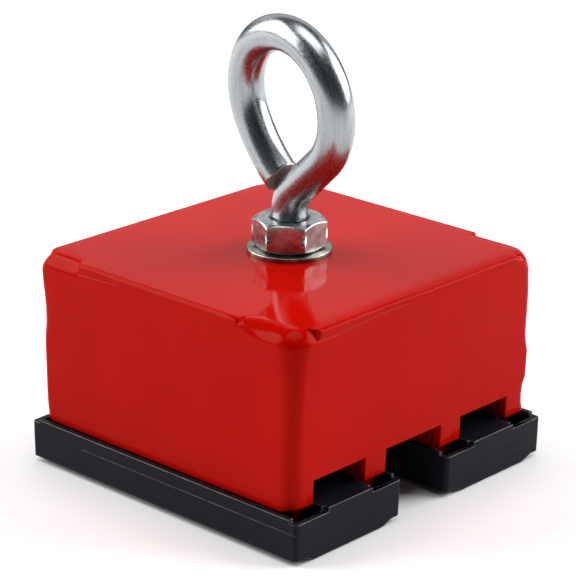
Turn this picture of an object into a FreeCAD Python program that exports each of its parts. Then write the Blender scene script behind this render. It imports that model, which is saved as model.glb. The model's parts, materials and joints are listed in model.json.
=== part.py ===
"""Twin-circuit lifting magnet with an eyebolt on top and two moulded pole covers below.

Millimetres, +Z up.  The origin is at the centre of the footprint, on the plane that the pole
covers rest on.  The four pole plates run along Y, and the magnet stacks sit between them along X.
Every sub-part is a separate solid, written to its own STEP file.
"""

import FreeCAD, Part
import math
import os

V = FreeCAD.Vector
X_AXIS = V(1, 0, 0)
Z_AXIS = V(0, 0, 1)
SIDES = {"left": -1, "right": 1}
ENDS = {"front": -1, "back": 1}

# --- housing: a cup pressed from sheet steel, narrower at its mouth than at its top ---
HOUSING_X = 91.2
HOUSING_Y = 89.6
HOUSING_TOP_Z = 57.75
HOUSING_SIDE_Z = 11.7
HOUSING_LEG_Z = 12.4
HOUSING_TAPER_X = 0.2
HOUSING_TAPER_Y = 1.4
SHEET = 2.5
CAVITY_TOP_Z = HOUSING_TOP_Z - SHEET
CORNER_R = 3.5
TOP_EDGE_R = 1.2
CAVITY_EDGE_R = 0.8
NOTCH_TOP_Z = 18.55
STUD_HOLE_R = 5.5

# --- magnet core: pole plates, ferrite blocks, spacers and the block that takes the eyebolt ---
POLE_INNER_X = (10.5, 18.5)
POLE_OUTER_X = (37.2, 41.1)
CORE_HALF_Y = 39.9
POLE_BOTTOM_Z = 3.4
CORE_TOP_Z = 54.0
SEAL_BOTTOM_Z = 18.6
FERRITE_BOTTOM_Z = 19.8
FERRITE_TOP_Z = 45.8
FERRITE_END_GAP = 0.2
POLE_CORNER_R = 0.8
POLE_UPRIGHT_R = 3.0

# --- rivets that draw the core together ---
RIVET_R = 3.0
RIVET_Y = 22.0
RIVET_Z = 49.9

# --- M10 screw parts; the thread is drawn as rings, one pitch apart ---
THREAD_MAJOR_R = 4.95
THREAD_DEPTH = 0.85
THREAD_PITCH = 1.5
THREAD_CLEARANCE = 0.08
THREAD_BOTTOM_Z = 36.0
THREAD_RINGS = 19
BUSH_R = 7.0
BUSH_BOTTOM_Z = 33.0
WASHER_R = 11.0
WASHER_HOLE_R = 5.25
WASHER_T = 1.3
WASHER_EDGE_R = 0.35
NUT_ACROSS_FLATS = 17.0
NUT_HEIGHT = 7.8
NUT_FLAT_ANGLE = 36.0
NUT_CHAMFER_ANGLE = 30.0
NUT_COUNTERSINK_R = 5.5
NUT_COUNTERSINK_DEPTH = 1.0
NUT_FACE_RATIO = 0.475
NUT_RELIEF = 0.35

# --- eye: one wire, bent forwards out of the nut and then round into a ring ---
WIRE_R = 4.72
EYE_TURN_DEG = -98.0
EYE_LEAN_DEG = 4.9
LEAN_BEND_R = 12.0
NECK_START_Z = 65.6
NECK_BEND_R = 11.95
NECK_BEND_DEG = 48.7
NECK_STRAIGHT = 14.3
RING_R = 17.7
RING_END_DEG = 204.7
TAIL_R = 37.3
TAIL_LENGTH = 18.3
WIRE_END_CHAMFER = 0.5

# --- pole covers: one tray for each pair of poles ---
COVER_X = (8.8, 47.5)
COVER_HALF_Y = 46.9
COVER_CORNER_R = 1.2
COVER_SIDE_RIM_Z = 11.9
COVER_END_RIM_Z = 11.15
COVER_PLATEAU_Z = 12.35
COVER_DRAFT_X = 0.1
COVER_DRAFT_Y = 0.25
COVER_BOTTOM_EDGE_R = 0.6
COVER_INNER_WALL = 1.25
COVER_OUTER_WALL = 1.8
COVER_END_WALL = 1.6
COVER_FLOOR_Z = 3.3
GROOVE_CORNER_R = 1.0
PLATEAU_CLEARANCE = 0.45
PLATEAU_END_X = (19.7, 35.8)
PAD_X = (16.0, 40.2)
PAD_RAMP = 3.7
PAD_HEIGHT = 1.4
RIB_T = 1.6
RIB_ROOT = 0.2
RIB_TOP_Z = 10.4
RIB_CLEARANCE = 0.35
RIB_COUNT = 5
RIB_SPAN = 72.0

REACH = 200.0
SAME_PLACE = 0.01


def write(name, shape):
    """Write one sub-part and stop if it is not a sound solid."""
    solids = shape.Solids
    if not solids or not shape.isValid():
        raise ValueError(name + " is not a valid solid")
    shape.exportStep("parts/" + name + ".step")
    box = shape.BoundBox
    print("%-22s %8.0f mm3  z %6.2f..%6.2f" % (name, shape.Volume, box.ZMin, box.ZMax))


def box(x, y, z):
    """A box from three (low, high) pairs."""
    return Part.makeBox(x[1] - x[0], y[1] - y[0], z[1] - z[0], V(x[0], y[0], z[0]))


def along_x(side, span):
    """The (low, high) pair of an X span on the named side of the middle."""
    ends = sorted(SIDES[side] * value for value in span)
    return (ends[0], ends[1])


def rectangle(half_x, half_y, z, centre_x=0.0):
    corners = [(-1, -1), (1, -1), (1, 1), (-1, 1), (-1, -1)]
    return Part.makePolygon([V(centre_x + sx * half_x, sy * half_y, z) for sx, sy in corners])


def edges_at(shape, z):
    """Edges that lie wholly at one height."""
    found = []
    for edge in shape.Edges:
        limits = edge.BoundBox
        if abs(limits.ZMin - z) < SAME_PLACE and abs(limits.ZMax - z) < SAME_PLACE:
            found.append(edge)
    return found


def upright_edges(shape, length):
    """Edges that climb at least the given height."""
    return [edge for edge in shape.Edges if edge.BoundBox.ZLength > length]


def tapered_block(bottom, top, low_z, high_z, corner_r, top_r):
    """A four-sided block with sloping sides, rounded upright corners and a rounded top edge."""
    block = Part.makeLoft([rectangle(*bottom, low_z), rectangle(*top, high_z)], True, True)
    block = block.makeFillet(corner_r, upright_edges(block, 0.5 * (high_z - low_z)))
    return block.makeFillet(top_r, edges_at(block, high_z))


def ringed_rod(major_r, depth, bottom_z, rings):
    """A rod whose thread is a stack of V-shaped rings, with a flat crest and root."""
    crest = THREAD_PITCH / 8.0
    root = THREAD_PITCH / 4.0
    flank = (THREAD_PITCH - crest - root) / 2.0
    minor_r = major_r - depth
    one_ring = [(minor_r, root), (major_r, flank), (major_r, crest), (minor_r, flank)]
    points = [V(0, 0, bottom_z), V(minor_r, 0, bottom_z)]
    z = bottom_z
    for radius, step in one_ring * rings:
        z += step
        points.append(V(radius, 0, z))
    points.append(V(0, 0, z))
    points.append(points[0])
    profile = Part.Face(Part.makePolygon(points))
    return profile.revolve(V(0, 0, 0), Z_AXIS, 360)


def thread_top_z():
    return THREAD_BOTTOM_Z + THREAD_RINGS * THREAD_PITCH


def threaded_hole():
    """The bolt's thread, grown by the running clearance, for cutting the bush and the nut."""
    return ringed_rod(THREAD_MAJOR_R + THREAD_CLEARANCE, THREAD_DEPTH, THREAD_BOTTOM_Z, THREAD_RINGS)


def cylinder_x(radius, span, y, z):
    return Part.makeCylinder(radius, span[1] - span[0], V(span[0], y, z), X_AXIS)


def rivet_holes(shape):
    for sign in ENDS.values():
        shape = shape.cut(cylinder_x(RIVET_R, (-REACH, REACH), sign * RIVET_Y, RIVET_Z))
    return shape


def housing():
    """Sheet cup with three notches in each end wall, which leave four legs under the end walls."""
    top_half = (HOUSING_X / 2.0, HOUSING_Y / 2.0)
    bottom_half = (top_half[0] - HOUSING_TAPER_X, top_half[1] - HOUSING_TAPER_Y)
    outer = tapered_block(bottom_half, top_half, HOUSING_SIDE_Z, HOUSING_TOP_Z, CORNER_R, TOP_EDGE_R)
    inner_top = (top_half[0] - SHEET, top_half[1] - SHEET)
    inner_bottom = (bottom_half[0] - SHEET, bottom_half[1] - SHEET)
    cavity_r = CORNER_R - SHEET
    cavity = tapered_block(inner_bottom, inner_top, HOUSING_SIDE_Z, CAVITY_TOP_Z, cavity_r, CAVITY_EDGE_R)
    shell = outer.cut(cavity)
    below = HOUSING_SIDE_Z - 1.0
    for sign in ENDS.values():
        y = sorted((sign * (bottom_half[1] - CORNER_R), sign * REACH))
        shell = shell.cut(box((-REACH, REACH), y, (below, HOUSING_LEG_Z)))
    notches = [
        (-POLE_OUTER_X[0], -POLE_INNER_X[1]),
        (-POLE_INNER_X[0], POLE_INNER_X[0]),
        (POLE_INNER_X[1], POLE_OUTER_X[0]),
    ]
    for span in notches:
        shell = shell.cut(box(span, (-REACH, REACH), (below, NOTCH_TOP_Z)))
    return shell.cut(Part.makeCylinder(STUD_HOLE_R, REACH, V(0, 0, CAVITY_TOP_Z - 1.0)))


def pole_plate(side, span, upright_r):
    """Steel plate that stands below the ferrite, with its two long lower edges eased.

    The outer plates are also rounded at the two uprights that face the housing's corners.
    """
    plate = box(along_x(side, span), (-CORE_HALF_Y, CORE_HALF_Y), (POLE_BOTTOM_Z, CORE_TOP_Z))
    if upright_r:
        uprights = upright_edges(plate, CORE_TOP_Z - POLE_BOTTOM_Z - 1.0)
        far_x = SIDES[side] * span[1]
        outer = [edge for edge in uprights if abs(edge.CenterOfMass.x - far_x) < SAME_PLACE]
        plate = plate.makeFillet(upright_r, outer)
    long_edges = [edge for edge in edges_at(plate, POLE_BOTTOM_Z) if edge.BoundBox.YLength > CORE_HALF_Y]
    return rivet_holes(plate.makeFillet(POLE_CORNER_R, long_edges))


def ferrite_block(side, layer, end):
    middle = 0.5 * (POLE_INNER_X[1] + POLE_OUTER_X[0])
    layers = {"inner": (POLE_INNER_X[1], middle), "outer": (middle, POLE_OUTER_X[0])}
    y = sorted((ENDS[end] * FERRITE_END_GAP / 2.0, ENDS[end] * CORE_HALF_Y))
    return box(along_x(side, layers[layer]), y, (FERRITE_BOTTOM_Z, FERRITE_TOP_Z))


def spacer(side):
    """Aluminium bar over one magnet stack, which keeps the flux out of the housing."""
    span = along_x(side, (POLE_INNER_X[1], POLE_OUTER_X[0]))
    return rivet_holes(box(span, (-CORE_HALF_Y, CORE_HALF_Y), (FERRITE_TOP_Z, CORE_TOP_Z)))


def centre_block():
    """Aluminium block between the inner poles, bored for the steel bush that takes the eyebolt."""
    span = (-POLE_INNER_X[0], POLE_INNER_X[0])
    block = box(span, (-CORE_HALF_Y, CORE_HALF_Y), (FERRITE_BOTTOM_Z, CAVITY_TOP_Z))
    block = rivet_holes(block)
    return block.cut(Part.makeCylinder(BUSH_R, REACH, V(0, 0, BUSH_BOTTOM_Z)))


def seal(span):
    """Resin that closes the underside between two poles."""
    return box(span, (-CORE_HALF_Y, CORE_HALF_Y), (SEAL_BOTTOM_Z, FERRITE_BOTTOM_Z))


def thread_bush():
    bush = Part.makeCylinder(BUSH_R, CAVITY_TOP_Z - BUSH_BOTTOM_Z, V(0, 0, BUSH_BOTTOM_Z))
    bush = bush.cut(threaded_hole())
    pilot_r = THREAD_MAJOR_R + THREAD_CLEARANCE
    return bush.cut(Part.makeCylinder(pilot_r, THREAD_BOTTOM_Z - BUSH_BOTTOM_Z, V(0, 0, BUSH_BOTTOM_Z)))


def washer():
    ring = Part.makeCylinder(WASHER_R, WASHER_T, V(0, 0, HOUSING_TOP_Z))
    ring = ring.makeFillet(WASHER_EDGE_R, edges_at(ring, HOUSING_TOP_Z + WASHER_T))
    return ring.cut(Part.makeCylinder(WASHER_HOLE_R, REACH, V(0, 0, HOUSING_TOP_Z - 1.0)))


def lock_nut():
    """Hexagon nut, chamfered at both ends, with a threaded and countersunk bore."""
    low = HOUSING_TOP_Z + WASHER_T
    high = low + NUT_HEIGHT
    corner_r = NUT_ACROSS_FLATS / 2.0 / math.cos(math.radians(30))
    points = []
    for step in range(7):
        angle = math.radians(NUT_FLAT_ANGLE + 30 + 60 * step)
        points.append(V(corner_r * math.cos(angle), corner_r * math.sin(angle), low))
    hexagon = Part.Face(Part.makePolygon(points)).extrude(V(0, 0, NUT_HEIGHT))
    face_r = NUT_FACE_RATIO * NUT_ACROSS_FLATS
    drop = (corner_r - face_r) * math.tan(math.radians(NUT_CHAMFER_ANGLE))
    turned = [V(0, 0, low), V(face_r, 0, low), V(corner_r, 0, low + drop), V(corner_r, 0, high - drop)]
    turned += [V(face_r, 0, high), V(0, 0, high), V(0, 0, low)]
    blank = hexagon.common(Part.Face(Part.makePolygon(turned)).revolve(V(0, 0, 0), Z_AXIS, 360))
    bore_r = THREAD_MAJOR_R + THREAD_CLEARANCE - THREAD_DEPTH
    blank = blank.cut(threaded_hole())
    blank = blank.cut(Part.makeCylinder(bore_r, REACH, V(0, 0, low - 1.0)))
    depth = NUT_COUNTERSINK_DEPTH
    sink_low = Part.makeCone(NUT_COUNTERSINK_R, bore_r, depth, V(0, 0, low))
    sink_high = Part.makeCone(bore_r, NUT_COUNTERSINK_R, depth, V(0, 0, high - depth))
    relief = Part.makeCylinder(WIRE_R + NUT_RELIEF, REACH, V(0, 0, thread_top_z()))
    return blank.cut(sink_low).cut(sink_high).cut(relief)


class WireRun:
    """Builds a round wire from straight runs and tangent arcs, carrying its end face along."""

    def __init__(self, face):
        self.face = face
        self.pieces = []

    def straight(self, direction, length):
        step = direction.multiply(length)
        self.pieces.append(self.face.extrude(step))
        self.face.translate(step)

    def arc(self, centre, axis, degrees):
        self.pieces.append(self.face.revolve(centre, axis, degrees))
        self.face.rotate(centre, axis, degrees)

    def centre(self):
        return self.face.CenterOfMass


def eyebolt():
    """Threaded shank, neck and ring: the wire leaves the shank forwards, and closes beside the neck."""
    forward = V(math.cos(math.radians(EYE_TURN_DEG)), math.sin(math.radians(EYE_TURN_DEG)), 0)
    sideways = V(forward.y, -forward.x, 0)
    shank = ringed_rod(THREAD_MAJOR_R, THREAD_DEPTH, THREAD_BOTTOM_Z, THREAD_RINGS)
    plain_low = thread_top_z() - 0.5 * THREAD_PITCH
    plain = Part.makeCylinder(THREAD_MAJOR_R - THREAD_DEPTH, NECK_START_Z - plain_low, V(0, 0, plain_low))
    base = V(0, 0, NECK_START_Z)
    run = WireRun(Part.Face(Part.Wire(Part.makeCircle(WIRE_R, base, Z_AXIS))))
    # The ring's plane leans sideways, so its "up" is the shank's axis turned by the lean.
    run.arc(base + sideways * LEAN_BEND_R, Z_AXIS.cross(sideways), EYE_LEAN_DEG)
    lean = FreeCAD.Rotation(Z_AXIS.cross(sideways), EYE_LEAN_DEG)
    up = lean.multVec(Z_AXIS)
    bend_axis = up.cross(forward)
    run.arc(run.centre() + forward * NECK_BEND_R, bend_axis, NECK_BEND_DEG)
    bend = math.radians(NECK_BEND_DEG)
    run.straight(forward * math.sin(bend) + up * math.cos(bend), NECK_STRAIGHT)
    ring_centre = run.centre() - forward * (RING_R * math.cos(bend)) + up * (RING_R * math.sin(bend))
    run.arc(ring_centre, bend_axis, -(NECK_BEND_DEG + RING_END_DEG))
    end = math.radians(RING_END_DEG)
    outward = forward * math.cos(end) + up * math.sin(end)
    run.arc(run.centre() - outward * TAIL_R, bend_axis, -math.degrees(TAIL_LENGTH / TAIL_R))
    tail = run.pieces.pop()
    end_edges = [edge for edge in tail.Edges if edge.CenterOfMass.isEqual(run.centre(), SAME_PLACE)]
    tail = tail.makeChamfer(WIRE_END_CHAMFER, end_edges)
    gap = min(tail.distToShape(piece)[0] for piece in run.pieces[:3])
    print("eye centre", ring_centre, "gap between wire end and neck %.2f" % gap)
    return shank.fuse([plain] + run.pieces + [tail]).removeSplitter()


def cover(side):
    """Tray with two grooves for the poles, a raised middle and a flat pad underneath."""
    middle = 0.5 * (COVER_X[0] + COVER_X[1])
    half_x = 0.5 * (COVER_X[1] - COVER_X[0])
    low = rectangle(half_x - COVER_DRAFT_X, COVER_HALF_Y - COVER_DRAFT_Y, 0.0, middle)
    high = rectangle(half_x, COVER_HALF_Y, COVER_PLATEAU_Z, middle)
    tray = Part.makeLoft([low, high], True, True)
    tray = tray.makeFillet(COVER_CORNER_R, upright_edges(tray, 0.5 * COVER_PLATEAU_Z))
    tray = tray.makeFillet(COVER_BOTTOM_EDGE_R, edges_at(tray, 0.0))
    for ledge_x, ramp_sign in ((PAD_X[0], -1), (PAD_X[1], 1)):
        far_x = ledge_x + ramp_sign * REACH
        foot_x = ledge_x + ramp_sign * PAD_RAMP
        outline = [V(ledge_x, 0, 0), V(foot_x, 0, PAD_HEIGHT), V(far_x, 0, PAD_HEIGHT)]
        outline += [V(far_x, 0, -1), V(ledge_x, 0, -1)]
        relief = Part.Face(Part.makePolygon(outline + outline[:1])).extrude(V(0, 2 * REACH, 0))
        relief.translate(V(0, -REACH, 0))
        tray = tray.cut(relief)
    grooves = [
        (COVER_X[0] + COVER_INNER_WALL, POLE_INNER_X[1] + PLATEAU_CLEARANCE),
        (POLE_OUTER_X[0] - PLATEAU_CLEARANCE, COVER_X[1] - COVER_OUTER_WALL),
    ]
    groove_half_y = COVER_HALF_Y - COVER_END_WALL
    for span in grooves:
        groove = box(span, (-groove_half_y, groove_half_y), (COVER_FLOOR_Z, COVER_PLATEAU_Z + 1.0))
        tray = tray.cut(groove.makeFillet(GROOVE_CORNER_R, upright_edges(groove, COVER_FLOOR_Z)))
    # Each rim cut reaches past the rounded corners of the grooves, so that none is left standing.
    past_corner = GROOVE_CORNER_R + SAME_PLACE
    rim_cut_z = (COVER_SIDE_RIM_Z, COVER_PLATEAU_Z + 1.0)
    tray = tray.cut(box((0, grooves[0][0] + past_corner), (-REACH, REACH), rim_cut_z))
    tray = tray.cut(box((grooves[1][1] - past_corner, REACH), (-REACH, REACH), rim_cut_z))
    end_cut_z = (COVER_END_RIM_Z, COVER_PLATEAU_Z + 1.0)
    for sign in ENDS.values():
        corner_y = sorted((sign * (groove_half_y - past_corner), sign * REACH))
        tray = tray.cut(box((0, grooves[0][1]), corner_y, end_cut_z))
        tray = tray.cut(box((grooves[1][0], REACH), corner_y, end_cut_z))
        wall_y = sorted((sign * (groove_half_y - SAME_PLACE), sign * REACH))
        tray = tray.cut(box((0, PLATEAU_END_X[0]), wall_y, end_cut_z))
        tray = tray.cut(box((PLATEAU_END_X[1], REACH), wall_y, end_cut_z))
    rib_x = (POLE_OUTER_X[1] + RIB_CLEARANCE, COVER_X[1] - COVER_OUTER_WALL + RIB_ROOT)
    for index in range(RIB_COUNT):
        y = RIB_SPAN * (index / (RIB_COUNT - 1) - 0.5)
        rib = box(rib_x, (y - RIB_T / 2.0, y + RIB_T / 2.0), (COVER_FLOOR_Z - RIB_ROOT, RIB_TOP_Z))
        tray = tray.fuse(rib)
    tray = tray.removeSplitter()
    if side == "left":
        tray = tray.mirror(V(0, 0, 0), X_AXIS)
    return tray


def main():
    os.makedirs("parts", exist_ok=True)
    write("housing_shell", housing())
    for side in SIDES:
        write("inner_pole_" + side, pole_plate(side, POLE_INNER_X, 0.0))
        write("outer_pole_" + side, pole_plate(side, POLE_OUTER_X, POLE_UPRIGHT_R))
        write("spacer_bar_" + side, spacer(side))
        write("resin_seal_" + side, seal(along_x(side, (POLE_INNER_X[1], POLE_OUTER_X[0]))))
        write("pole_cover_" + side, cover(side))
        for layer in ("inner", "outer"):
            for end in ENDS:
                write("ferrite_%s_%s_%s" % (side, layer, end), ferrite_block(side, layer, end))
    rivet_span = (-POLE_OUTER_X[1], POLE_OUTER_X[1])
    for end, sign in ENDS.items():
        write("core_rivet_" + end, cylinder_x(RIVET_R, rivet_span, sign * RIVET_Y, RIVET_Z))
    write("centre_block", centre_block())
    write("resin_seal_centre", seal((-POLE_INNER_X[0], POLE_INNER_X[0])))
    write("thread_bush", thread_bush())
    write("washer", washer())
    write("lock_nut", lock_nut())
    write("eyebolt", eyebolt())


main()
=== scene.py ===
import json
import math

import bmesh
import bpy
from mathutils import Matrix, Vector, noise
from mathutils.bvhtree import BVHTree


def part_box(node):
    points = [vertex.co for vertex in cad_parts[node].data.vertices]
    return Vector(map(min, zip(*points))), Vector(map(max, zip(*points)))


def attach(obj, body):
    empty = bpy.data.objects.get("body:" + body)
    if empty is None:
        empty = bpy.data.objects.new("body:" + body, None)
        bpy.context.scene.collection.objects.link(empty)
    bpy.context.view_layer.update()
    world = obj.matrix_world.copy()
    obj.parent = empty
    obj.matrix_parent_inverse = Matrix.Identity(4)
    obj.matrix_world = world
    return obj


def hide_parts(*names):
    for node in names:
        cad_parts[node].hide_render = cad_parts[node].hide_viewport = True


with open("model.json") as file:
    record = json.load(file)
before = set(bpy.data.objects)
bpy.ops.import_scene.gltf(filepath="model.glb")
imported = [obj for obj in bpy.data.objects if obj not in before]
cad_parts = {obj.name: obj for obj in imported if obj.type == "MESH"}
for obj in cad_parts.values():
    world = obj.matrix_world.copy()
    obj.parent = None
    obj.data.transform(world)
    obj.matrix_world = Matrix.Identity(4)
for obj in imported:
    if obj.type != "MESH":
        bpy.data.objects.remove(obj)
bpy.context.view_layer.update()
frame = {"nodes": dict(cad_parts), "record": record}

NODES = frame["nodes"]
MM = 0.001

# --- camera ---
VIEW_AZIMUTH = -47.42
VIEW_ELEVATION = 19.82
VIEW_ROLL = 0.654
VIEW_TARGET = Vector((0.00381, 0.00381, 0.04547))
VIEW_DISTANCE = 0.66099
LENS_MM = 159.13
SENSOR_MM = 36.0


def direction(azimuth, elevation):
    """Unit vector from the object towards a place seen at this azimuth and elevation, in degrees."""
    a = math.radians(azimuth)
    e = math.radians(elevation)
    return Vector((math.sin(a) * math.cos(e), -math.cos(a) * math.cos(e), math.sin(e)))


def smoothstep(low, high, value):
    t = min(1.0, max(0.0, (value - low) / (high - low)))
    return t * t * (3.0 - 2.0 * t)


def lerp(a, b, t):
    return a + (b - a) * t


# --- materials ---
class Finish:
    """One procedural material, built on object coordinates unless a place is given."""

    def __init__(self, name, color, roughness, **sockets):
        self.material = bpy.data.materials.new(name)
        self.material.use_nodes = True
        self.nodes = self.material.node_tree.nodes
        self.links = self.material.node_tree.links
        self.shader = self.nodes["Principled BSDF"]
        self.shader.inputs["Base Color"].default_value = (*color, 1.0)
        self.shader.inputs["Roughness"].default_value = roughness
        for key, value in sockets.items():
            self.shader.inputs[key.replace("_", " ")].default_value = value
        self.place = self.add("ShaderNodeTexCoord").outputs["Object"]
        self.height = None

    def add(self, kind, **settings):
        node = self.nodes.new(kind)
        for key, value in settings.items():
            setattr(node, key, value)
        return node

    def stretched(self, scale, source=None):
        node = self.add("ShaderNodeMapping")
        node.inputs["Scale"].default_value = scale
        self.links.new(source or self.place, node.inputs["Vector"])
        return node.outputs["Vector"]

    def noise(self, scale, detail=3.0, roughness=0.5, place=None, distortion=0.0):
        node = self.add("ShaderNodeTexNoise")
        node.inputs["Scale"].default_value = scale
        node.inputs["Detail"].default_value = detail
        node.inputs["Roughness"].default_value = roughness
        node.inputs["Distortion"].default_value = distortion
        self.links.new(place or self.place, node.inputs["Vector"])
        return node.outputs["Fac"]

    def ranged(self, value, low, high, out_low=0.0, out_high=1.0):
        node = self.add("ShaderNodeMapRange", interpolation_type="SMOOTHSTEP")
        self.links.new(value, node.inputs["Value"])
        limits = {"From Min": low, "From Max": high, "To Min": out_low, "To Max": out_high}
        for key, number in limits.items():
            node.inputs[key].default_value = number
        return node.outputs["Result"]

    def mixed(self, factor, first, second):
        """Colour between two colours; each is a tuple or another node's output."""
        node = self.add("ShaderNodeMix", data_type="RGBA")
        self.links.new(factor, node.inputs["Factor"])
        for key, value in (("A", first), ("B", second)):
            socket = [s for s in node.inputs if s.name == key and s.type == "RGBA"][0]
            if isinstance(value, tuple):
                socket.default_value = (*value, 1.0)
            else:
                self.links.new(value, socket)
        return [s for s in node.outputs if s.type == "RGBA"][0]

    def math(self, operation, a, b):
        node = self.add("ShaderNodeMath", operation=operation)
        for socket, value in zip(node.inputs, (a, b)):
            if isinstance(value, (int, float)):
                socket.default_value = value
            else:
                self.links.new(value, socket)
        return node.outputs["Value"]

    def set(self, key, output):
        self.links.new(output, self.shader.inputs[key])

    def bump(self, height, depth):
        """Adds one layer of relief, depth metres high, on top of the layers added before it."""
        node = self.add("ShaderNodeBump")
        node.inputs["Distance"].default_value = depth
        node.inputs["Strength"].default_value = 1.0
        self.links.new(height, node.inputs["Height"])
        if self.height:
            self.links.new(self.height, node.inputs["Normal"])
        self.height = node.outputs["Normal"]
        self.set("Normal", self.height)


def red_paint():
    tint = (1.0, 0.94, 0.74, 1.0)
    f = Finish("red_paint", (0.415, 0.0027, 0.0006), 0.07, IOR=1.122, Specular_Tint=tint)
    cloud = f.ranged(f.noise(45.0, 3.0), 0.35, 0.65)
    speck = f.ranged(f.noise(900.0, 2.0), 0.62, 0.75)
    base = f.mixed(cloud, (0.405, 0.0023, 0.0005), (0.43, 0.0030, 0.0008))
    f.set("Base Color", f.mixed(speck, base, (0.38, 0.0021, 0.0005)))
    f.set("Roughness", f.ranged(f.noise(160.0, 4.0), 0.3, 0.7, 0.05, 0.10))
    f.bump(f.noise(28.0, 1.0), 0.00011)
    f.bump(f.noise(520.0, 2.0), 0.000004)
    return f.material


def pole_paint():
    f = Finish("pole_paint", (0.30, 0.0030, 0.0020), 0.25, IOR=1.35)
    worn = f.ranged(f.noise(180.0, 5.0, 0.6), 0.55, 0.70)
    f.set("Base Color", f.mixed(worn, (0.30, 0.0030, 0.0020), (0.10, 0.010, 0.008)))
    f.set("Roughness", f.ranged(f.noise(300.0, 3.0), 0.3, 0.7, 0.2, 0.4))
    f.bump(f.noise(700.0, 3.0), 0.00002)
    return f.material


def cover_plastic():
    f = Finish("cover_plastic", (0.0065, 0.0065, 0.0110), 0.38, IOR=1.19)
    cloud = f.noise(70.0, 4.0)
    f.set("Base Color", f.mixed(cloud, (0.0050, 0.0050, 0.0092), (0.0080, 0.0080, 0.0130)))
    scuff = f.noise(90.0, 5.0, 0.65, place=f.stretched((1.0, 0.25, 6.0)))
    f.set("Roughness", f.ranged(scuff, 0.3, 0.7, 0.34, 0.50))
    f.bump(f.noise(2600.0, 3.0), 0.000012)
    f.bump(f.noise(140.0, 2.0), 0.00003)
    return f.material


def cover_edge_sheen():
    """Edges of the moulding: a paler colour that is a painted highlight, rubbed smooth and paler still in
    places.
    """
    f = Finish("cover_edge_sheen", (0.03, 0.03, 0.034), 0.3, IOR=1.45)
    sheen_and_rubbing = f.ranged(f.noise(260.0, 4.0, 0.6), 0.45, 0.62)
    f.set("Base Color", f.mixed(sheen_and_rubbing, (0.014, 0.015, 0.018), (0.055, 0.057, 0.060)))
    f.set("Roughness", f.ranged(f.noise(500.0, 2.0), 0.3, 0.7, 0.24, 0.40))
    f.bump(f.noise(1800.0, 2.0), 0.000008)
    return f.material


def zinc(name, bright, dull, grain, roughness):
    f = Finish(name, bright, roughness, Metallic=1.0)
    mottle = f.ranged(f.noise(230.0, 6.0, 0.65), 0.42, 0.66)
    f.set("Base Color", f.mixed(mottle, bright, dull))
    f.set("Roughness", f.ranged(f.noise(380.0, 4.0), 0.3, 0.7, roughness - 0.05, roughness + 0.08))
    f.bump(f.noise(grain, 3.0), 0.000006)
    f.bump(f.noise(260.0, 2.0), 0.000009)
    return f.material


def drawn_zinc():
    """Plated wire: marks run along the wire, which the piece's UV map follows in metres."""
    f = Finish("bright_zinc", (0.46, 0.475, 0.495), 0.26, Metallic=1.0)
    along = f.add("ShaderNodeTexCoord").outputs["UV"]
    streaks = f.noise(700.0, 4.0, 0.6, place=f.stretched((0.06, 1.0, 1.0), along))
    blotch = f.noise(160.0, 6.0, 0.7, place=f.stretched((0.35, 1.0, 1.0), along), distortion=0.6)
    grain = f.noise(2300.0, 3.0, 0.65, place=f.stretched((0.45, 1.0, 1.0), along))
    fine = f.math("MULTIPLY", f.ranged(streaks, 0.42, 0.70), f.ranged(blotch, 0.40, 0.62))
    f.set("Base Color", f.mixed(fine, (0.355, 0.37, 0.385), (0.22, 0.23, 0.245)))
    f.set("Roughness", f.ranged(grain, 0.36, 0.64, 0.22, 0.31))
    f.bump(grain, 0.000001)
    f.bump(streaks, 0.000002)
    f.bump(f.noise(110.0, 2.0), 0.00003)
    return f.material


def cut_steel():
    f = Finish("cut_steel", (0.30, 0.26, 0.24), 0.5, Metallic=0.6)
    f.set("Base Color", f.mixed(f.noise(500.0, 5.0), (0.20, 0.165, 0.15), (0.40, 0.35, 0.33)))
    f.bump(f.noise(1400.0, 4.0), 0.00003)
    return f.material


def plain_metal(name, first, second, roughness, grain):
    f = Finish(name, first, roughness, Metallic=1.0)
    lines = f.noise(grain, 4.0, 0.6, place=f.stretched((1.0, 0.08, 1.0)))
    f.set("Base Color", f.mixed(f.noise(120.0, 5.0), first, second))
    f.set("Roughness", f.ranged(lines, 0.3, 0.7, roughness - 0.08, roughness + 0.1))
    f.bump(lines, 0.00001)
    return f.material


def mineral(name, first, second, roughness, grain):
    f = Finish(name, first, roughness)
    f.set("Base Color", f.mixed(f.noise(grain, 6.0, 0.65), first, second))
    f.set("Roughness", f.ranged(f.noise(grain * 2.0), 0.3, 0.7, roughness - 0.08, roughness + 0.08))
    f.bump(f.noise(grain * 3.0, 3.0), 0.00003)
    return f.material


FINISHES = {
    "red_paint": red_paint(),
    "pole_paint": pole_paint(),
    "cover_plastic": cover_plastic(),
    "bright_zinc": drawn_zinc(),
    "washer_zinc": zinc("washer_zinc", (0.33, 0.32, 0.28), (0.17, 0.165, 0.14), 1500.0, 0.30),
    "bare_steel": plain_metal("bare_steel", (0.45, 0.44, 0.43), (0.30, 0.29, 0.28), 0.32, 900.0),
    "aluminium_bar": plain_metal("aluminium_bar", (0.80, 0.81, 0.82), (0.62, 0.63, 0.65), 0.35, 700.0),
    "ferrite": mineral("ferrite", (0.035, 0.034, 0.035), (0.070, 0.066, 0.064), 0.62, 300.0),
    "resin": mineral("resin", (0.010, 0.010, 0.011), (0.022, 0.021, 0.022), 0.28, 120.0),
}
# The edge finish's paler colour is a painted highlight along the covers' edges.
COVER_EDGE_SHEEN = cover_edge_sheen()
NUT_ZINC = zinc("nut_zinc", (0.47, 0.48, 0.485), (0.28, 0.285, 0.29), 1100.0, 0.27)
CUT_STEEL = cut_steel()


def paint(obj, *materials):
    # Clearing also forgets which face has which material, so a new mesh isn't cleared.
    if obj.data.materials:
        obj.data.materials.clear()
    for material in materials:
        obj.data.materials.append(material)


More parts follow.
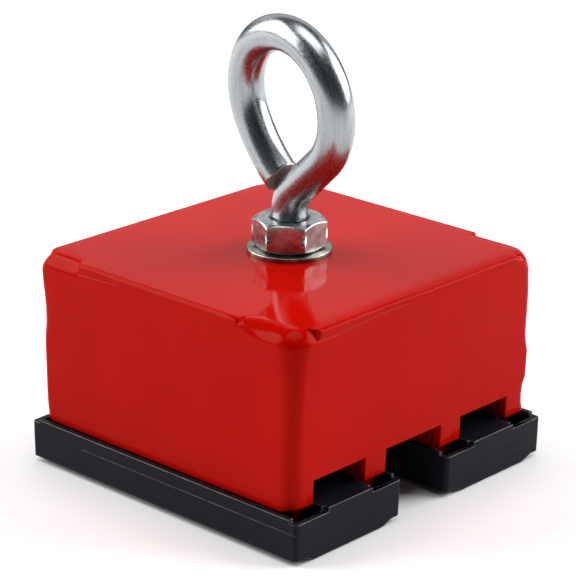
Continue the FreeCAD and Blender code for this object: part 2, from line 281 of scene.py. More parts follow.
# The material slot of each CAD node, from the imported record.
SLOTS = {part["node"]: part["material_slot"] for part in frame["record"]["subparts"]}
for node_name, node_object in NODES.items():
    paint(node_object, FINISHES[SLOTS[node_name]])


# --- meshes ---
def around_z(radius, angle, z):
    """The point at this radius and angle round the Z axis."""
    return Vector((radius * math.cos(angle), radius * math.sin(angle), z))


SAME_PLACE = 1e-6
FLAT_ANGLE = math.radians(0.4)


def new_piece(name, mesh, body, node, *materials):
    """Puts a finished mesh in the scene, in place of one CAD node."""
    obj = bpy.data.objects.new(name, mesh)
    bpy.context.scene.collection.objects.link(obj)
    paint(obj, *materials)
    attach(obj, body)
    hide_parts(node)
    return obj


def finished_mesh(bm, name):
    """Turns the working mesh into a smooth-shaded mesh of this name."""
    mesh = bpy.data.meshes.new(name)
    bm.to_mesh(mesh)
    bm.free()
    for polygon in mesh.polygons:
        polygon.use_smooth = True
    return mesh


def rounded_edges(bm, edges, width):
    """Rounds these edges with two faces across each, and returns those faces."""
    made = bmesh.ops.bevel(
        bm,
        geom=edges,
        offset=width,
        offset_type="OFFSET",
        segments=2,
        profile=0.5,
        affect="EDGES",
        clamp_overlap=False,
    )
    return made["faces"]


def weighted_normals(obj):
    modifier = obj.modifiers.new("normals", "WEIGHTED_NORMAL")
    modifier.keep_sharp = True


def eased_copy(node, body, width, angle, *materials):
    """The CAD node's shape with its crisp edges eased by a small round, in the last material."""
    bm = bmesh.new()
    bm.from_mesh(NODES[node].data)
    bmesh.ops.remove_doubles(bm, verts=bm.verts, dist=SAME_PLACE)
    bmesh.ops.dissolve_limit(bm, angle_limit=FLAT_ANGLE, verts=bm.verts, edges=bm.edges)
    surface = BVHTree.FromBMesh(bm)
    limit = math.radians(angle)
    crisp = [e for e in bm.edges if e.is_manifold and e.calc_face_angle() > limit]
    for face in rounded_edges(bm, crisp, width):
        face.material_index = len(materials) - 1
    # Where tiny edges meet, the round overshoots: those corners go back onto the node's surface.
    for vert in bm.verts:
        nearest, normal, index, distance = surface.find_nearest(vert.co)
        if distance > 0.5 * width:
            vert.co = nearest
    name = node + "_eased"
    obj = new_piece(name, finished_mesh(bm, name), body, node, *materials)
    weighted_normals(obj)
    return obj


# --- housing, in millimetres until the mesh is made ---
SHEET = 2.5
NOTCH_TOP = 18.55
SHELL_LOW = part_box("housing_shell")[0] / MM
SHELL_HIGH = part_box("housing_shell")[1] / MM
HALF_X = SHELL_HIGH.x
HALF_Y = SHELL_HIGH.y
TOP_Z = SHELL_HIGH.z
SIDE_Z = SHELL_LOW.z
LEG_Z = 12.4
HOLE_R = 5.5
LEG_EDGES = [
    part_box("inner_pole_right")[0].x / MM,
    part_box("inner_pole_right")[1].x / MM,
    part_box("outer_pole_right")[0].x / MM,
]

# The four sides, once round, and the corner that follows each: its signs of X and Y, and its start angle.
SIDES = ["front", "right", "back", "left"]
CORNERS = {
    "front": (1, -1, -90.0),
    "right": (1, 1, 0.0),
    "back": (-1, 1, 90.0),
    "left": (-1, -1, 180.0),
}
# The corners at each side's low end and high end.
SIDE_ENDS = {
    "front": ("left", "front"),
    "right": ("front", "right"),
    "back": ("back", "right"),
    "left": ("left", "back"),
}
# How far each wall stands in from the shell's box at the top, and how much it leans in on the way down.
WALLS = {"front": (0.4, 1.4), "right": (0.0, 0.1), "back": (0.0, 0.6), "left": (0.0, 0.5)}
# Plan radius of each upright corner, as (drop below the top, radius): the deep drawing left them uneven.
CORNER_RADII = {
    "front": [
        (1.5, 6.4), (4.8, 3.8), (12.0, 2.8), (24.0, 2.8), (28.0, 1.1),
        (35.0, 1.1), (38.3, 2.7), (41.6, 3.0), (46.0, 1.4),
    ],
    "right": [(3.0, 4.4), (12.0, 2.8), (46.0, 3.0)],
    "back": [
        (0.0, 3.0), (5.0, 1.6), (8.0, 1.8), (14.0, 2.8),
        (18.0, 2.8), (25.0, 1.8), (40.0, 1.8), (46.0, 2.6),
    ],
    "left": [(2.0, 6.2), (8.0, 4.8), (15.0, 4.0), (46.0, 4.0)],
}
# Radius that places the columns of the mesh; the corners' own radii then stretch them.
NOMINAL_R = 3.5
SMALLEST_R = 1.0
# The side walls' columns stay put up to here, and the end walls' up to just past their legs.
SIDE_FIXED = 35.0
LEG_CLEARANCE = 0.2

# Shoulders, as (inset, drop) from the sharp corner of the box.
SHOULDER_INSET = 4.6
SHOULDER_END = 5.2
DIPPED = [
    (4.6, 0.0), (3.3, 0.04), (2.2, 0.17), (1.3, 0.36), (0.68, 0.53),
    (0.40, 0.65), (0.18, 0.84), (0.06, 1.06), (0.0, 1.35),
]
FACETED = [
    (4.6, 0.0), (2.8, 0.0), (1.6, 0.01), (1.05, 0.03), (0.92, 0.12),
    (0.80, 0.13), (0.62, 0.16), (0.10, 0.66), (0.0, 0.95),
]
CRISP = [
    (4.6, 0.0), (2.8, 0.0), (1.6, 0.01), (0.9, 0.04), (0.55, 0.12),
    (0.30, 0.27), (0.12, 0.48), (0.03, 0.72), (0.0, 0.95),
]
# Every shoulder has this many points: those of a coined profile, four of the ledge and the end.
SHOULDER_COUNT = len(CRISP) + 5
COINED = {"front": DIPPED, "right": CRISP, "back": CRISP, "left": FACETED}
# Shoulder of the drawn corners: how far the round reaches in and down, and the turn at which it starts.
DRAWN = {
    "front": (3.6, 3.0, 0.0),
    "right": (3.6, 3.0, 0.0),
    "back": (3.2, 4.8, 14.0),
    "left": (3.6, 3.9, 50.0),
}
DRAWN_CREASE = 0.10
# Where the coined run begins and ends along each side, and how far each change takes.
COINED_RUNS = {
    "front": (-38.6, 40.4, 0.6, 2.8),
    "right": (-25.0, 37.0, 1.0, 4.0),
    "back": (-41.4, 37.0, 2.2, 4.0),
    "left": (-27.6, 30.8, 10.0, 1.6),
}
EXTRA_MARKS = {
    "front": [-39.3, -38.9, -38.4, -38.0, -37.2, -36.8, -36.3, -35.6],
    "left": [-26.6, -26.2, -25.8, -25.4, -25.0, -24.6],
}
# Columns this far apart at most, and none this near the edge of a leg.
COLUMN_STEP = 2.0
LEG_MARK_GAP = 0.12
CORNER_STEP = 9
# Extra columns where a coined run changes, as shares of the change's length.
CHANGE_MARKS = (-0.75, -0.25, 0.25, 0.75)
LEDGE_DEPTH = 0.42
# The ledge's foot: where it starts, ends and has faded out, as drops from its own line.
LEDGE_START = -0.35
LEDGE_EDGE = -0.12
LEDGE_FADE = 0.03
LEDGE_FOOT = 0.2


def steady(knots, value):
    """Smooth curve through (place, value) knots."""
    if value <= knots[0][0]:
        return knots[0][1]
    for (low, first), (high, second) in zip(knots, knots[1:]):
        if value <= high:
            return lerp(first, second, smoothstep(low, high, value))
    return knots[-1][1]


def ledge(side, along):
    """The faint second line that the coining tool left: how deep it is, and how far down."""
    if side == "front":
        fade = 1.0 - smoothstep(-16.0, 3.0, along)
        again = 0.35 * smoothstep(17.0, 22.0, along) * (1.0 - smoothstep(30.0, 35.0, along))
        return LEDGE_DEPTH * max(fade, again), steady([(-33.0, 3.1), (-11.0, 1.9), (20.0, 2.0)], along)
    if side == "left":
        return LEDGE_DEPTH * smoothstep(12.0, 22.0, along), steady([(12.0, 2.2), (31.0, 2.8)], along)
    return 0.0, 2.5


def coined_shoulder(side, along):
    depth, down = ledge(side, along)
    top = down + LEDGE_START
    # The strip above the ledge leans back on its way down.
    points = [(inset + depth * drop / top, drop) for inset, drop in COINED[side]]
    points += [(depth, top), (depth, down + LEDGE_EDGE)]
    points += [(0.35 * depth, down + LEDGE_FADE), (0.0, down + LEDGE_FOOT)]
    points.append((0.0, SHOULDER_END))
    return points


def drawn_shoulder(corner):
    reach_in, reach_down, first = DRAWN[corner]
    in_share = 1.0 - math.sin(math.radians(first))
    down_share = math.cos(math.radians(first))
    points = [(SHOULDER_INSET, 0.0)]
    for index in range(1, SHOULDER_COUNT - 1):
        turn = math.radians(lerp(first, 90.0, (index - 1) / (SHOULDER_COUNT - 3)))
        inset = reach_in * (1.0 - math.sin(turn)) / in_share
        fall = (down_share - math.cos(turn)) / down_share
        points.append((inset, DRAWN_CREASE + (reach_down - DRAWN_CREASE) * fall))
    points.append((0.0, SHOULDER_END))
    return points


def softness(side, along):
    """1 in a drawn corner, 0 on the coined run of that side."""
    start, end, rise, fall = COINED_RUNS[side]
    if along < 0.5 * (start + end):
        return 1.0 - smoothstep(start - 0.5 * rise, start + 0.5 * rise, along)
    return smoothstep(end - 0.5 * fall, end + 0.5 * fall, along)


def spaced(low, high, step):
    count = max(1, round((high - low) / step))
    return [lerp(low, high, i / count) for i in range(count)]


def columns():
    """Every column of the mesh, once round: (side, along, None) or (side, None, turn in degrees)."""
    leg_marks = sorted([-m for m in LEG_EDGES] + LEG_EDGES)
    found = []
    for number, side in enumerate(SIDES):
        half = (HALF_X if number % 2 == 0 else HALF_Y) - NOMINAL_R
        start, end, rise, fall = COINED_RUNS[side]
        marks = {-half, half}
        for centre, width in ((start, rise), (end, fall)):
            for step in CHANGE_MARKS:
                marks.add(centre + step * width)
        marks.update(EXTRA_MARKS.get(side, []))
        marks = {m for m in marks if abs(m) <= half}
        if number % 2 == 0:
            marks = {m for m in marks if min(abs(m - leg) for leg in leg_marks) > LEG_MARK_GAP}
            marks.update(leg_marks)
        marks = sorted(marks)
        values = []
        for low, high in zip(marks, marks[1:]):
            values += spaced(low, high, COLUMN_STEP)
        values.append(half)
        if side in ("back", "left"):
            values = values[::-1]
        found += [(side, value, None) for value in values]
        found += [(side, None, turn) for turn in range(CORNER_STEP, 90, CORNER_STEP)]
    return found


def end_corner(side, along):
    return SIDE_ENDS[side][0 if along < 0.0 else 1]


def wall_place(side, drop, inset):
    """Distance of one wall from the middle plane."""
    start, lean = WALLS[side]
    half = HALF_X if side in ("left", "right") else HALF_Y
    return half - start - lean * drop / (TOP_Z - SIDE_Z) - inset


def rim_point(column, inset, z):
    """A point on the housing's plan outline at this height, moved inwards by the inset."""
    side, along, turn = column
    drop = TOP_Z - z
    corner = side if turn is not None else end_corner(side, along)
    sx, sy, first = CORNERS[corner]
    far_x = wall_place("right" if sx > 0 else "left", drop, inset)
    far_y = wall_place("back" if sy > 0 else "front", drop, inset)
    radius = max(steady(CORNER_RADII[corner], drop) - inset, SMALLEST_R)
    if turn is not None:
        angle = math.radians(first + turn)
        x = sx * (far_x - radius) + radius * math.cos(angle)
        y = sy * (far_y - radius) + radius * math.sin(angle)
        return Vector((x, y, z))
    is_end = side in ("front", "back")
    crossing = far_x if is_end else far_y
    fixed = LEG_EDGES[-1] + LEG_CLEARANCE if is_end else SIDE_FIXED
    nominal = (HALF_X if is_end else HALF_Y) - NOMINAL_R
    if abs(along) > fixed:
        stretch = fixed + (abs(along) - fixed) * (crossing - radius - fixed) / (nominal - fixed)
        along = math.copysign(stretch, along)
    place = wall_place(side, drop, inset)
    places = {
        "front": (along, -place),
        "right": (place, along),
        "back": (along, place),
        "left": (-place, along),
    }
    return Vector((*places[side], z))


def shoulder(column):
    """The (inset, drop) points of this column, between the coined and the drawn shape."""
    side, along, turn = column
    if turn is not None:
        return drawn_shoulder(side)
    soft = softness(side, along)
    drawn = drawn_shoulder(end_corner(side, along))
    pairs = zip(coined_shoulder(side, along), drawn)
    return [(lerp(a[0], b[0], soft), lerp(a[1], b[1], soft)) for a, b in pairs]


# Small pits at the ends of the coined runs, as
# (side, place along, half width, first drop, last drop, depth).
PITS = [("front", -38.0, 1.2, 0.45, 2.7, 1.4), ("left", -25.6, 0.8, 0.10, 1.2, 0.6)]


def pit_depth(column, drop):
    side, along, turn = column
    if along is None:
        return 0.0
    depth = 0.0
    for pit_side, place, half, first, last, deep in PITS:
        if side == pit_side and first <= drop <= last:
            depth += deep * (1.0 - smoothstep(0.55 * half, half, abs(along - place)))
    return depth


def bottom_z(column):
    side, along, turn = column
    if turn is None:
        return LEG_Z if side in ("front", "back") else SIDE_Z
    share = turn / 90.0 if side in ("front", "back") else 1.0 - turn / 90.0
    return lerp(LEG_Z, SIDE_Z, smoothstep(0.5, 1.0, share))


def wall_ripple(point):
    """Slow unevenness of the pressed walls."""
    return RIPPLE_DEPTH * noise.noise(Vector((point.x, point.y, point.z * 0.7)) * RIPPLE_SCALE)


# Rows of the wall as drops from the top, and rows of the legs as drops from the notches' top.
WALL_ROWS = [6.0, 8.5, 11.5, 15.0, 19.0, 23.0, 25.5, 28.0, 30.5, 33.0, 35.5, 37.5]
LEG_ROWS = [0.0, 0.5, 1.2, 3.5]
# Rings of the top as shares of the way from the hole to the shoulder.
TOP_RINGS = [0.0, 0.12, 0.3, 0.5, 0.7, 0.86, 0.96]
TOP_RING_INSET = 5.6
CAVITY_EDGE_R = 0.8
RIM_EASE = 0.35
RIPPLE_DEPTH = 0.12
RIPPLE_SCALE = 0.045


def top_points(column, z):
    """From the stud hole to the place where the shoulder begins."""
    edge = rim_point(column, TOP_RING_INSET, TOP_Z)
    edge.z = z
    angle = math.atan2(edge.y, edge.x)
    hole = around_z(HOLE_R, angle, z)
    return [hole.lerp(edge, share) for share in TOP_RINGS] + [edge]


def outer_column(column):
    """Outer skin from the stud hole to the foot, as a list of points."""
    points = top_points(column, TOP_Z)
    for inset, drop in shoulder(column):
        points.append(rim_point(column, inset + pit_depth(column, drop), TOP_Z - drop))
    for drop in WALL_ROWS:
        point = rim_point(column, 0.0, TOP_Z - drop)
        points.append(rim_point(column, max(0.0, wall_ripple(point)), TOP_Z - drop))
    for below in LEG_ROWS:
        points.append(rim_point(column, 0.0, NOTCH_TOP - below))
    points.append(rim_point(column, 0.0, bottom_z(column)))
    return points


def inner_column(column):
    """Inner skin, matched to the outer one point for point."""
    ceiling = TOP_Z - SHEET
    points = top_points(column, ceiling)
    for index in range(SHOULDER_COUNT):
        turn = math.radians(90.0 * index / (SHOULDER_COUNT - 1))
        inset = SHEET + CAVITY_EDGE_R * (1.0 - math.sin(turn))
        points.append(rim_point(column, inset, ceiling - CAVITY_EDGE_R * (1.0 - math.cos(turn))))
    for drop in WALL_ROWS:
        points.append(rim_point(column, SHEET, TOP_Z - drop))
    for below in LEG_ROWS:
        points.append(rim_point(column, SHEET, NOTCH_TOP - below))
    points.append(rim_point(column, SHEET, bottom_z(column)))
    return points


def in_notch(column, next_column):
    """True where the end wall is cut away between these two columns."""
    if column[1] is None or next_column[1] is None or column[0] not in ("front", "back"):
        return False
    middle = abs(0.5 * (column[1] + next_column[1]))
    inner, outer, far = LEG_EDGES
    return middle < inner or outer < middle < far


def housing_mesh():
    around = columns()
    skins = [[make(column) for column in around] for make in (outer_column, inner_column)]
    rows = len(skins[0][0])
    notch_row = rows - 1 - len(LEG_ROWS)
    bm = bmesh.new()
    verts = []
    for skin in skins:
        verts.append([[bm.verts.new(point * MM) for point in points] for points in skin])
    count = len(around)
    for c in range(count):
        n = (c + 1) % count
        last = notch_row if in_notch(around[c], around[n]) else rows - 1
        for r in range(last):
            outer = [verts[0][c][r], verts[0][c][r + 1], verts[0][n][r + 1], verts[0][n][r]]
            inner = [verts[1][c][r], verts[1][n][r], verts[1][n][r + 1], verts[1][c][r + 1]]
            bm.faces.new(outer)
            bm.faces.new(inner)
    twin = {}
    for c in range(count):
        for r in range(rows):
            twin[verts[0][c][r]] = verts[1][c][r]
    border = [e for e in bm.edges if e.is_boundary and e.verts[0] in twin]
    for edge in border:
        a, b = edge.verts
        loop = edge.link_loops[0]
        if loop.vert is not a:
            a, b = b, a
        bm.faces.new([b, a, twin[a], twin[b]])
    loose = [v for v in bm.verts if not v.link_faces]
    bmesh.ops.delete(bm, geom=loose, context="VERTS")
    bm.normal_update()
    inner_verts = set(twin.values())
    rims = []
    for edge in bm.edges:
        kinds = {sum(v in inner_verts for v in face.verts) for face in edge.link_faces}
        if len(kinds) > 1:
            rims.append(edge)
    rounded_edges(bm, rims, RIM_EASE * MM)
    return finished_mesh(bm, "housing_pressing")


housing = new_piece(
    "housing_pressing", housing_mesh(), "magnet_body", "housing_shell", FINISHES["red_paint"]
)
weighted_normals(housing)

# --- eyebolt: the same run of wire as the frame's, in millimetres ---
WIRE_R = 4.72
EYE_TURN = -98.0
EYE_LEAN = 4.9
LEAN_BEND_R = 12.0
NECK_START_Z = 65.6
NECK_BEND_R = 11.95
NECK_BEND = 48.7
NECK_STRAIGHT = 14.3
RING_R = 17.7
RING_END = 204.7
TAIL_R = 37.3
TAIL_LENGTH = 18.3
END_BURR = 0.15
END_SLANT = 5.0
END_ZONE = 9.0
THREAD_R = 4.95
THREAD_DEPTH = 0.85
THREAD_PITCH = 1.5
THREAD_LOW_Z = 36.0
THREAD_HIGH_Z = 64.5
THREAD_STEPS = 12
THREAD_FADE_IN = 1.5
THREAD_FADE_OUT = 2.0
# The wire starts a little inside the end of the thread.
WIRE_OVERLAP = 0.4
WIRE_SIDES = 48
WIRE_STEP = 0.7
# The wire's end was cut at a slant, from the side that this direction points away from.
CUT_SIDE = direction(-47.0, 21.0)
# Rings of the cut face, as shares of the way from its edge to its middle.
CUT_RINGS = (END_BURR / WIRE_R, 0.35, 0.7, 0.94)


class WireRun:
    """Walks along the wire's centreline, keeping a direction and a side vector."""

    def __init__(self, start, forward, side):
        self.frames = [(start.copy(), forward.copy(), side.copy())]

    def straight(self, length):
        point, forward, side = self.frames[-1]
        steps = max(1, round(length / WIRE_STEP))
        for i in range(1, steps + 1):
            self.frames.append((point + forward * (length * i / steps), forward, side))

    def arc(self, centre, axis, degrees):
        point, forward, side = self.frames[-1]
        length = (point - centre).length * math.radians(abs(degrees))
        steps = max(1, round(length / WIRE_STEP))
        for i in range(1, steps + 1):
            turn = Matrix.Rotation(math.radians(degrees * i / steps), 3, axis)
            self.frames.append((centre + turn @ (point - centre), turn @ forward, turn @ side))


def eye_run():
    forward = Vector((math.cos(math.radians(EYE_TURN)), math.sin(math.radians(EYE_TURN)), 0.0))
    z_axis = Vector((0.0, 0.0, 1.0))
    sideways = Vector((forward.y, -forward.x, 0.0))
    base = Vector((0.0, 0.0, THREAD_HIGH_Z - WIRE_OVERLAP))
    run = WireRun(base, z_axis, sideways)
    run.straight(NECK_START_Z - base.z)
    start = run.frames[-1][0]
    lean_axis = z_axis.cross(sideways)
    run.arc(start + sideways * LEAN_BEND_R, lean_axis, EYE_LEAN)
    up = Matrix.Rotation(math.radians(EYE_LEAN), 3, lean_axis) @ z_axis
    bend_axis = up.cross(forward)
    run.arc(run.frames[-1][0] + forward * NECK_BEND_R, bend_axis, NECK_BEND)
    run.straight(NECK_STRAIGHT)
    bend = math.radians(NECK_BEND)
    centre = run.frames[-1][0] - forward * (RING_R * math.cos(bend)) + up * (RING_R * math.sin(bend))
    run.arc(centre, bend_axis, -(NECK_BEND + RING_END))
    end = math.radians(RING_END)
    outward = forward * math.cos(end) + up * math.sin(end)
    run.arc(run.frames[-1][0] - outward * TAIL_R, bend_axis, -math.degrees(TAIL_LENGTH / TAIL_R))
    return run.frames


def add_ring(bm, centre, across, along, radius):
    verts = []
    for k in range(WIRE_SIDES):
        angle = 2.0 * math.pi * k / WIRE_SIDES
        offset = across * math.cos(angle) + along * math.sin(angle)
        verts.append(bm.verts.new((centre + offset * radius) * MM))
    return verts


def join_rings(bm, first, second, uv, v_low, v_high, material=0):
    for k in range(WIRE_SIDES):
        n = (k + 1) % WIRE_SIDES
        face = bm.faces.new([first[k], first[n], second[n], second[k]])
        face.material_index = material
        u_low = 2.0 * math.pi * WIRE_R * MM * k / WIRE_SIDES
        u_high = 2.0 * math.pi * WIRE_R * MM * (k + 1) / WIRE_SIDES
        corners = [(v_low, u_low), (v_low, u_high), (v_high, u_high), (v_high, u_low)]
        for loop, place in zip(face.loops, corners):
            loop[uv].uv = place


def thread_radius(turns):
    """Height of a V thread, with a flat crest and root, at this many turns along its helix."""
    share = turns % 1.0
    ramp = min(share, 1.0 - share) * 2.0
    return THREAD_R - THREAD_DEPTH * (1.0 - smoothstep(0.10, 0.84, ramp))


def thread_part(bm, uv):
    """Helical thread from the shank's end up to the neck; returns its last ring."""
    step = THREAD_PITCH / THREAD_STEPS
    count = round((THREAD_HIGH_Z - THREAD_LOW_Z) / step)
    core = THREAD_R - THREAD_DEPTH
    previous = None
    for i in range(count + 1):
        z = THREAD_LOW_Z + step * i
        fade_in = smoothstep(0.0, THREAD_FADE_IN, z - THREAD_LOW_Z)
        fade = fade_in * smoothstep(0.0, THREAD_FADE_OUT, THREAD_HIGH_Z - z)
        ring = []
        for k in range(WIRE_SIDES):
            angle = 2.0 * math.pi * k / WIRE_SIDES
            radius = core + (thread_radius(z / THREAD_PITCH - k / WIRE_SIDES) - core) * fade
            ring.append(bm.verts.new(around_z(radius, angle, z) * MM))
        if previous:
            join_rings(bm, previous, ring, uv, (z - step) * MM, z * MM)
        else:
            bm.faces.new(ring[::-1])
        previous = ring
    return previous


def eyebolt_mesh():
    bm = bmesh.new()
    uv = bm.loops.layers.uv.new("along_wire")
    previous = thread_part(bm, uv)
    frames = eye_run()
    travelled = frames[0][0].z
    point_before = frames[0][0]
    # The thread's rings start at +X, so the wire's first side vector is turned to match them.
    start = Vector((1.0, 0.0, 0.0))
    side_before = None
    zone = round(END_ZONE / WIRE_STEP)
    for number, (point, forward, side) in enumerate(frames):
        if number == 0:
            twist = math.atan2(side.cross(start).dot(forward), side.dot(start))
        across = Matrix.Rotation(twist, 3, forward) @ side
        along = forward.cross(across)
        length = (point - point_before).length
        ring = add_ring(bm, point, across, along, WIRE_R)
        # The end was cut off at a slant: the rings lean over bit by bit towards that plane.
        share = max(0.0, (number - len(frames) + 1 + zone) / zone)
        for vert in ring:
            outward = (vert.co / MM - point) / WIRE_R
            trim = WIRE_R * math.tan(math.radians(END_SLANT)) * (1.0 + outward.dot(CUT_SIDE))
            vert.co -= forward * (trim * share * MM)
        join_rings(bm, previous, ring, uv, travelled * MM, (travelled + length) * MM)
        travelled += length
        point_before = point
        previous = ring
    edge = previous
    middle = sum((vert.co for vert in edge), Vector()) / WIRE_SIDES
    push = forward * (END_BURR * MM)
    for share in CUT_RINGS:
        ring = [bm.verts.new(vert.co.lerp(middle, share) + push) for vert in edge]
        join_rings(bm, previous, ring, uv, travelled * MM, (travelled + 1.0) * MM, 1)
        previous = ring
    cap = bm.faces.new(previous)
    cap.material_index = 1
    bmesh.ops.recalc_face_normals(bm, faces=bm.faces)
    return finished_mesh(bm, "eyebolt_wire")


new_piece("eyebolt_wire", eyebolt_mesh(), "eyebolt", "eyebolt", FINISHES["bright_zinc"], CUT_STEEL)

# --- nut, in millimetres: a hexagon turned off by a cone at both ends ---
NUT_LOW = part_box("lock_nut")[0].z / MM
NUT_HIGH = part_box("lock_nut")[1].z / MM
NUT_FLATS = 17.0
NUT_FLAT_ANGLE = 36.0
NUT_FACE_R = 0.475 * NUT_FLATS
NUT_CORNER_R = NUT_FLATS / 2.0 / math.cos(math.radians(30.0)) - 0.03
NUT_SINK_R = 5.5
NUT_BORE_R = 4.2
NUT_RELIEF_R = 5.07
# Inside of the nut: (radius, depth below the top face) from the face down to the thread.
NUT_MOUTH = [
    (NUT_SINK_R + 0.1, 0.0),
    (NUT_SINK_R, 0.03),
    (NUT_RELIEF_R, 0.43),
    (NUT_RELIEF_R, 2.3),
    (NUT_BORE_R, 2.4),
]
NUT_SINK_DEPTH = 1.3
NUT_ROWS = [0.0, 0.05, 0.12, 0.22, 0.34, 0.47, 0.61, 0.77, 0.95, 1.15, 1.5, 2.3, 3.9]
NUT_HALF_TURNS = [0.0, 6.0, 12.0, 18.0, 22.5, 25.5, 27.6, 28.8, 29.5]
NUT_TURNS = [-30.0] + [-turn for turn in NUT_HALF_TURNS[:0:-1]] + NUT_HALF_TURNS
NUT_CORNER_SOFT = 0.12
NUT_CONE_SOFT = 0.22


def soft_min(a, b, reach):
    share = max(reach - abs(a - b), 0.0) / reach
    return min(a, b) - share * share * reach * 0.25


def nut_radius(turn, from_end):
    """Outside radius at this angle from the middle of a flat and this depth below an end face."""
    flat = NUT_FLATS / 2.0 / math.cos(math.radians(turn))
    hexagon = soft_min(flat, NUT_CORNER_R, NUT_CORNER_SOFT)
    cone = NUT_FACE_R + from_end / math.tan(math.radians(30.0))
    return soft_min(hexagon, cone, NUT_CONE_SOFT)


def bridge(bm, first, second):
    count = len(first)
    for k in range(count):
        n = (k + 1) % count
        bm.faces.new([first[k], first[n], second[n], second[k]])


def nut_mesh():
    around = [(60.0 * flat + NUT_FLAT_ANGLE, turn) for flat in range(6) for turn in NUT_TURNS]
    half = 0.5 * (NUT_HIGH - NUT_LOW)

    def round_ring(radius, z):
        return [radius for base, turn in around], z

    def hexagon_ring(depth, z):
        return [nut_radius(turn, min(depth, half)) for base, turn in around], z

    rings = [round_ring(NUT_BORE_R, NUT_LOW + NUT_SINK_DEPTH), round_ring(NUT_SINK_R, NUT_LOW)]
    rings += [hexagon_ring(depth, NUT_LOW + depth) for depth in NUT_ROWS]
    rings += [hexagon_ring(depth, NUT_HIGH - depth) for depth in reversed(NUT_ROWS)]
    rings += [round_ring(radius, NUT_HIGH - depth) for radius, depth in NUT_MOUTH]
    bm = bmesh.new()
    rows = []
    for radii, z in rings:
        row = []
        for radius, (base, turn) in zip(radii, around):
            row.append(bm.verts.new(around_z(radius, math.radians(base + turn), z) * MM))
        rows.append(row)
    for row, next_row in zip(rows, rows[1:] + rows[:1]):
        bridge(bm, row, next_row)
    bmesh.ops.recalc_face_normals(bm, faces=bm.faces)
    return finished_mesh(bm, "nut_turned")


weighted_normals(new_piece("nut_turned", nut_mesh(), "lock_nut", "lock_nut", NUT_ZINC))

# --- washer and covers: the frame's shapes with eased edges ---
# The outer long side of each moulding has a small step, where its upper part stands back.
STEP_Z = 0.0083
STEP_HEIGHT = 0.00018
STEP_DEPTH = 0.00012
STEP_BACK_Y = 0.028
STEP_REACH = 0.0004
WASHER_ROUND = 0.00010
WASHER_ANGLE = 40.0
COVER_ROUND = 0.00018
COVER_ANGLE = 30.0


def cut_across(bm, place, normal):
    """Adds edges wherever this plane crosses the mesh."""
    everything = bm.verts[:] + bm.edges[:] + bm.faces[:]
    bmesh.ops.bisect_plane(bm, geom=everything, dist=SAME_PLACE, plane_co=place, plane_no=normal)


def add_step(cover):
    """Moves the part of the outer long side above the step inwards a little."""
    outer = max(abs(vert.co.x) for vert in cover.data.vertices)
    bm = bmesh.new()
    bm.from_mesh(cover.data)
    for z in (STEP_Z, STEP_Z + STEP_HEIGHT):
        cut_across(bm, (0.0, 0.0, z), (0.0, 0.0, 1.0))
    cut_across(bm, (0.0, STEP_BACK_Y, 0.0), (0.0, 1.0, 0.0))
    for vert in bm.verts:
        on_side = abs(vert.co.x) > outer - STEP_REACH
        if on_side and vert.co.z > STEP_Z + 0.5 * STEP_HEIGHT:
            vert.co.x -= math.copysign(STEP_DEPTH, vert.co.x)
    # The step's faces take the second finish: its paler colour paints a highlight line along the step.
    for face in bm.faces:
        middle = face.calc_center_median()
        on_side = abs(middle.x) > outer - STEP_REACH
        on_step = STEP_Z < middle.z < STEP_Z + STEP_HEIGHT and middle.y < STEP_BACK_Y
        if on_side and on_step:
            face.material_index = 1
    bm.to_mesh(cover.data)
    bm.free()


eased_copy("washer", "magnet_body", WASHER_ROUND, WASHER_ANGLE, FINISHES["washer_zinc"])
# The covers' rounds take the second finish, whose paler colour is a painted highlight.
COVER_FINISHES = (FINISHES["cover_plastic"], COVER_EDGE_SHEEN)
for name in ("left", "right"):
    add_step(eased_copy("pole_cover_" + name, "cover_" + name, COVER_ROUND, COVER_ANGLE, *COVER_FINISHES))


# --- studio ---
# Soft panels: (turn from the camera, elevation, distance, width, height, brightness of the surface).
PANELS = {
    "overhead_box": (0.0, 90.0, 1.8, 1.3, 1.3, 3.2),
    "left_box": (-102.0, 28.0, 1.6, 1.4, 1.35, 5.3),
    "right_box": (102.0, 28.0, 1.6, 1.4, 1.35, 5.3),
    "back_panel": (180.0, 26.0, 1.9, 2.6, 1.0, 0.8),
}
WORLD_COLOR = (0.75, 0.95, 1.15, 1.0)
WORLD_STRENGTH = 0.05
FLOOR_RADIUS = 6.0


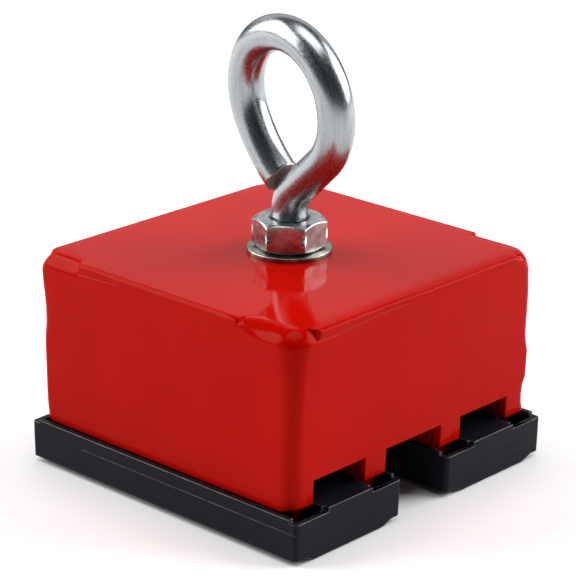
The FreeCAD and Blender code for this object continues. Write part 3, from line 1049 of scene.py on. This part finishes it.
def area_light(name, azimuth, elevation, distance, width, height, radiance):
    """A soft panel that faces the object; radiance is the brightness of its surface."""
    data = bpy.data.lights.new(name, "AREA")
    data.shape = "RECTANGLE"
    data.size = width
    data.size_y = height
    data.energy = radiance * math.pi * width * height
    light = bpy.data.objects.new(name, data)
    away = direction(azimuth, elevation)
    light.location = VIEW_TARGET + away * distance
    light.rotation_euler = away.to_track_quat("Z", "Y").to_euler()
    bpy.context.scene.collection.objects.link(light)


def studio():
    for name, (turn, elevation, distance, width, height, radiance) in PANELS.items():
        area_light(name, VIEW_AZIMUTH + turn, elevation, distance, width, height, radiance)
    world = bpy.data.worlds.new("studio")
    world.use_nodes = True
    background = world.node_tree.nodes["Background"]
    background.inputs["Color"].default_value = WORLD_COLOR
    background.inputs["Strength"].default_value = WORLD_STRENGTH
    bpy.context.scene.world = world
    bpy.context.scene.view_settings.view_transform = "Standard"


def floor():
    mesh = bpy.data.meshes.new("floor")
    bm = bmesh.new()
    bmesh.ops.create_circle(bm, cap_ends=True, segments=96, radius=FLOOR_RADIUS)
    bm.to_mesh(mesh)
    bm.free()
    obj = bpy.data.objects.new("floor", mesh)
    bpy.context.scene.collection.objects.link(obj)
    f = Finish("floor_paper", (0.94, 0.94, 0.94), 0.8)
    f.set("Base Color", f.mixed(f.noise(6.0, 3.0), (0.93, 0.93, 0.93), (0.95, 0.95, 0.95)))
    paint(obj, f.material)


def camera():
    data = bpy.data.cameras.new("camera")
    data.lens = LENS_MM
    data.sensor_width = SENSOR_MM
    data.clip_start = 0.05
    data.clip_end = 30.0
    cam = bpy.data.objects.new("camera", data)
    back = direction(VIEW_AZIMUTH, VIEW_ELEVATION)
    right = Vector((0.0, 0.0, 1.0)).cross(back).normalized()
    up = back.cross(right)
    roll = math.radians(VIEW_ROLL)
    across = right * math.cos(roll) + up * math.sin(roll)
    upward = up * math.cos(roll) - right * math.sin(roll)
    turn = Matrix((across, upward, back)).transposed()
    cam.matrix_world = Matrix.Translation(VIEW_TARGET + back * VIEW_DISTANCE) @ turn.to_4x4()
    bpy.context.scene.collection.objects.link(cam)
    bpy.context.scene.camera = cam


studio()
floor()
camera()
